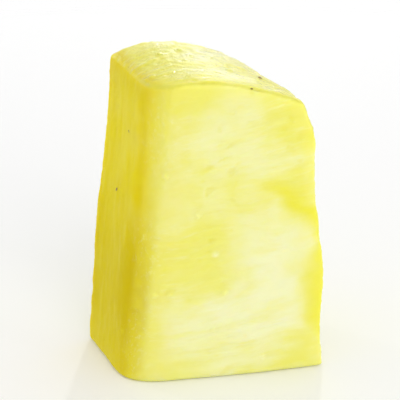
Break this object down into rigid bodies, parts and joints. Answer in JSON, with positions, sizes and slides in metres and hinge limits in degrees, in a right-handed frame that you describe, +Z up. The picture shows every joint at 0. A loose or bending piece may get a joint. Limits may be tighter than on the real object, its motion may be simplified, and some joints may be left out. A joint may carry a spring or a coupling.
{
  "type": "pineapple chunk",
  "caption": "Tall block of fresh pineapple flesh with gently waved knife cuts, a rounded and lobed peel side with eye pits, and an arched top that falls towards the peel side.",
  "frame": {"origin": "centre of the base's bounding box, on the flat bottom cut", "axes": "+Z up along the fruit's own axis and the chunk's longest side, -Y out of the front cut, +X towards the rounded peel side"},
  "size_m": [0.0372, 0.0266, 0.0516],
  "materials": {
    "flesh": "moist pale-yellow pineapple flesh, paler inside each fruitlet and deeper yellow along the seams, with fine fibres"
  },
  "bodies": {
    "root": {"pineapple_chunk": "flesh"}
  },
  "joints": []
}
